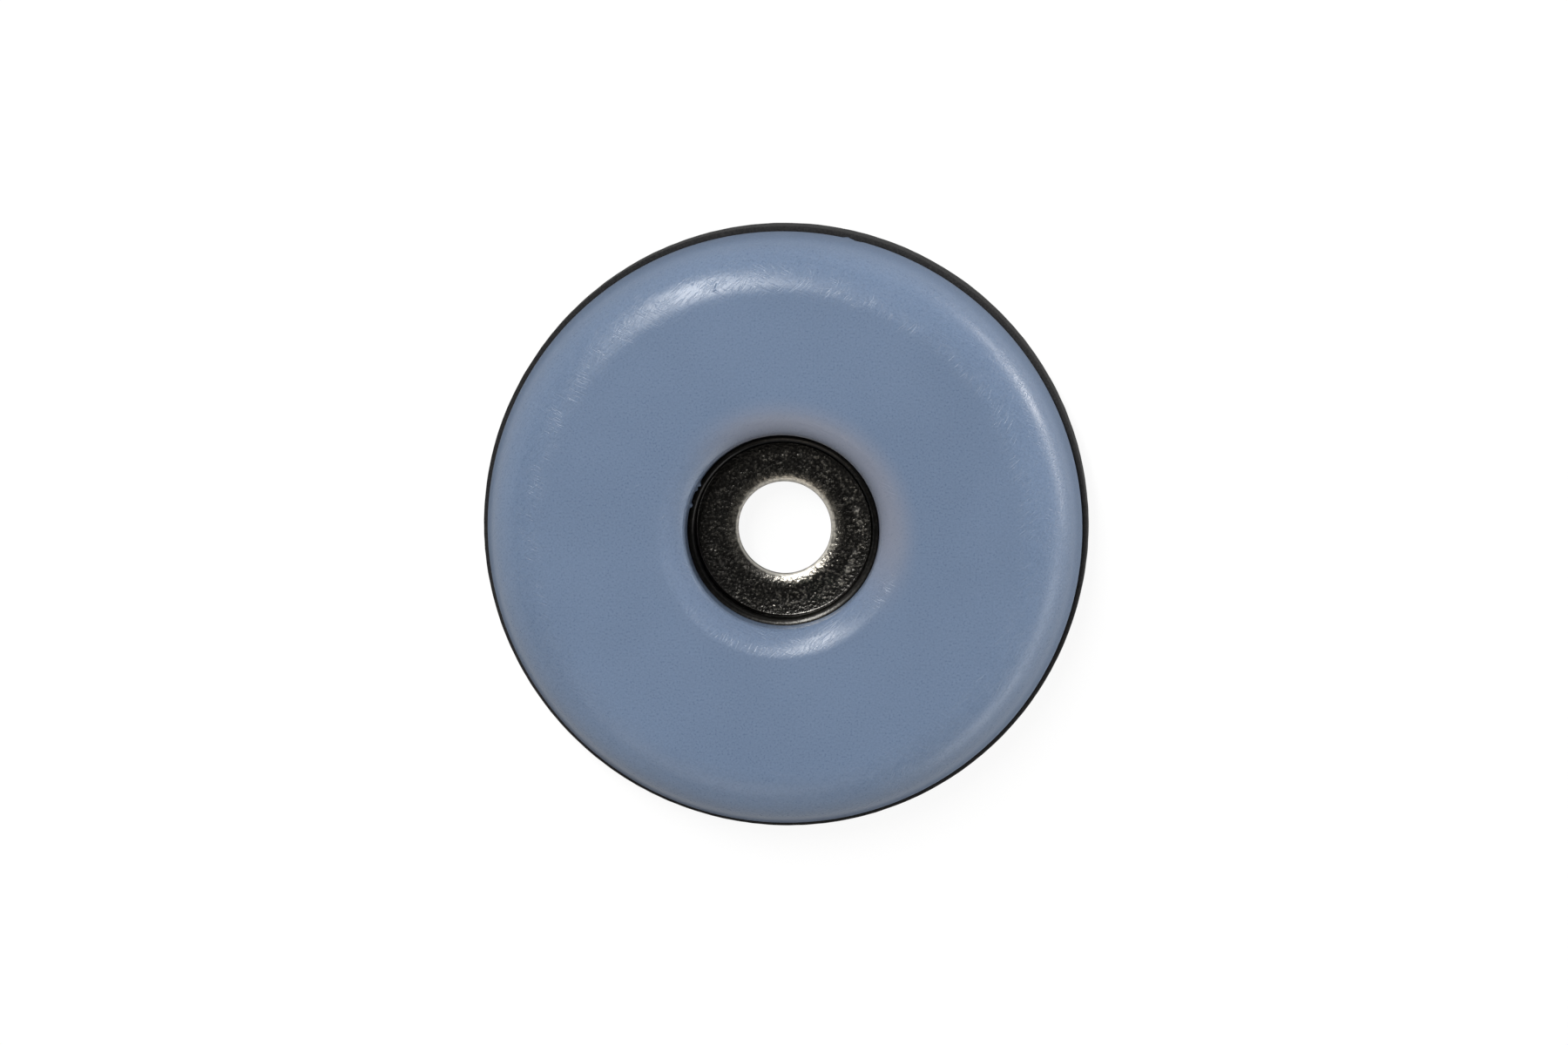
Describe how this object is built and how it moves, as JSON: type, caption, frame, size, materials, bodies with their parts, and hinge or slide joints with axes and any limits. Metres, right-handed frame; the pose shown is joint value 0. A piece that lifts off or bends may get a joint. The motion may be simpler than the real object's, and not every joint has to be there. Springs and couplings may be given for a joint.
{
  "type": "screw-on furniture glide",
  "caption": "Round screw-on furniture glide: a low-friction disc with rounded edges, bonded to a rubber pad, with a drawn steel cup that takes the screw.",
  "frame": {"origin": "centre of the mounting face, the pad's flat back", "axes": "+Z along the screw hole, out of the sliding face; the part is round, so +X and +Y are free"},
  "size_m": [0.03, 0.03, 0.005],
  "materials": {
    "slide_polymer": "satin",
    "black_rubber": "matte",
    "plated_steel": "satin"
  },
  "bodies": {
    "root": {"slide_disc": "slide_polymer", "rubber_pad": "black_rubber", "steel_cup": "plated_steel"}
  },
  "joints": []
}
